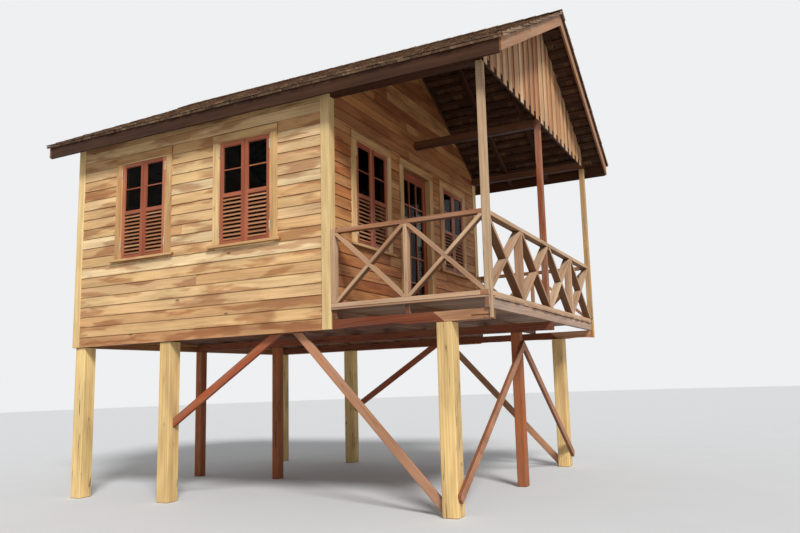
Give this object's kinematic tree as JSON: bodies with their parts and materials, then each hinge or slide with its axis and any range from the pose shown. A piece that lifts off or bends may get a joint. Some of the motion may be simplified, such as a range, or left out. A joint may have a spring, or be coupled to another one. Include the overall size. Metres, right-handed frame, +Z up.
{
  "type": "stilt house",
  "caption": "One-room timber house on square stilts, with lapped siding, louvred windows, a shingled gable roof and a railed porch with crossed braces.",
  "frame": {"origin": "on the ground, under the middle of the roof's outline", "axes": "+Z up, +Y from the porch to the back along the ridge, +X to the right for someone who faces the porch"},
  "size_m": [4.758, 6.3, 5.8477],
  "materials": {
    "stilt_timber": "sawn hardwood, bright yellow to orange, with drying cracks",
    "brace_timber": "sawn hardwood, pinkish tan to red",
    "bearer_timber": "rough sawn reddish hardwood",
    "joist_timber": "rough sawn brown hardwood",
    "floor_boards": "planed boards, weathered",
    "wall_lining": "planed boards, brown",
    "siding_timber": "lapped boards, golden to reddish brown",
    "corner_timber": "planed boards, yellowish",
    "casing_timber": "planed boards, yellowish brown",
    "red_joinery": "stained dark red",
    "pane_glass": "clear sheet glass",
    "hinge_metal": "pale plain steel",
    "post_timber": "sawn posts, weathered grey tan",
    "rail_timber": "sawn rails, weathered pinkish grey",
    "railing_timber": "sawn timber, weathered pinkish grey",
    "roof_timber": "rough sawn brown hardwood",
    "roof_shingles": "split shingles, weathered brown grey",
    "barge_timber": "planed boards, pinkish tan",
    "fascia_timber": "planed boards, dark brown",
    "gable_timber": "planed boards, tan to orange brown",
    "ridge_timber": "weathered boards, brown grey"
  },
  "bodies": {
    "house": {"front_stilts": "stilt_timber", "middle_stilts": "stilt_timber", "back_stilts": "stilt_timber", "stilt_braces": "brace_timber", "bearers": "bearer_timber", "floor_joists": "joist_timber", "porch_deck": "floor_boards", "room_floor": "floor_boards", "left_wall": "wall_lining", "left_wall_piers": "wall_lining", "right_wall": "wall_lining", "right_wall_piers": "wall_lining", "front_wall": "wall_lining", "front_wall_piers": "wall_lining", "back_wall": "wall_lining", "left_siding": "siding_timber", "right_siding": "siding_timber", "front_siding": "siding_timber", "back_siding": "siding_timber", "corner_boards": "corner_timber", "window_casings": "casing_timber", "door_casing": "casing_timber", "window_sashes": "red_joinery", "window_glass": "pane_glass", "door_hinge_plates": "hinge_metal", "porch_posts": "post_timber", "front_rails": "rail_timber", "side_rails": "rail_timber", "railing_studs": "railing_timber", "railing_braces": "railing_timber", "railing_half_braces": "railing_timber", "roof_plates": "roof_timber", "tie_beam": "roof_timber", "rafters": "roof_timber", "ridge_board": "roof_timber", "roof_battens": "roof_timber", "left_roof": "roof_shingles", "right_roof": "roof_shingles", "barge_boards": "barge_timber", "eave_fascias": "fascia_timber", "gable_infill": "gable_timber", "ridge_cap": "ridge_timber"},
    "door": {"door_leaf": "red_joinery", "door_glass": "pane_glass", "door_hinge_leaves": "hinge_metal"}
  },
  "joints": [
    {"name": "door_hinge", "type": "hinge", "parent": "house", "child": "door", "pos_m": [-0.381, -0.9285, 3.0505], "axis": [0, 0, 1], "range_deg": [0, 100]}
  ]
}
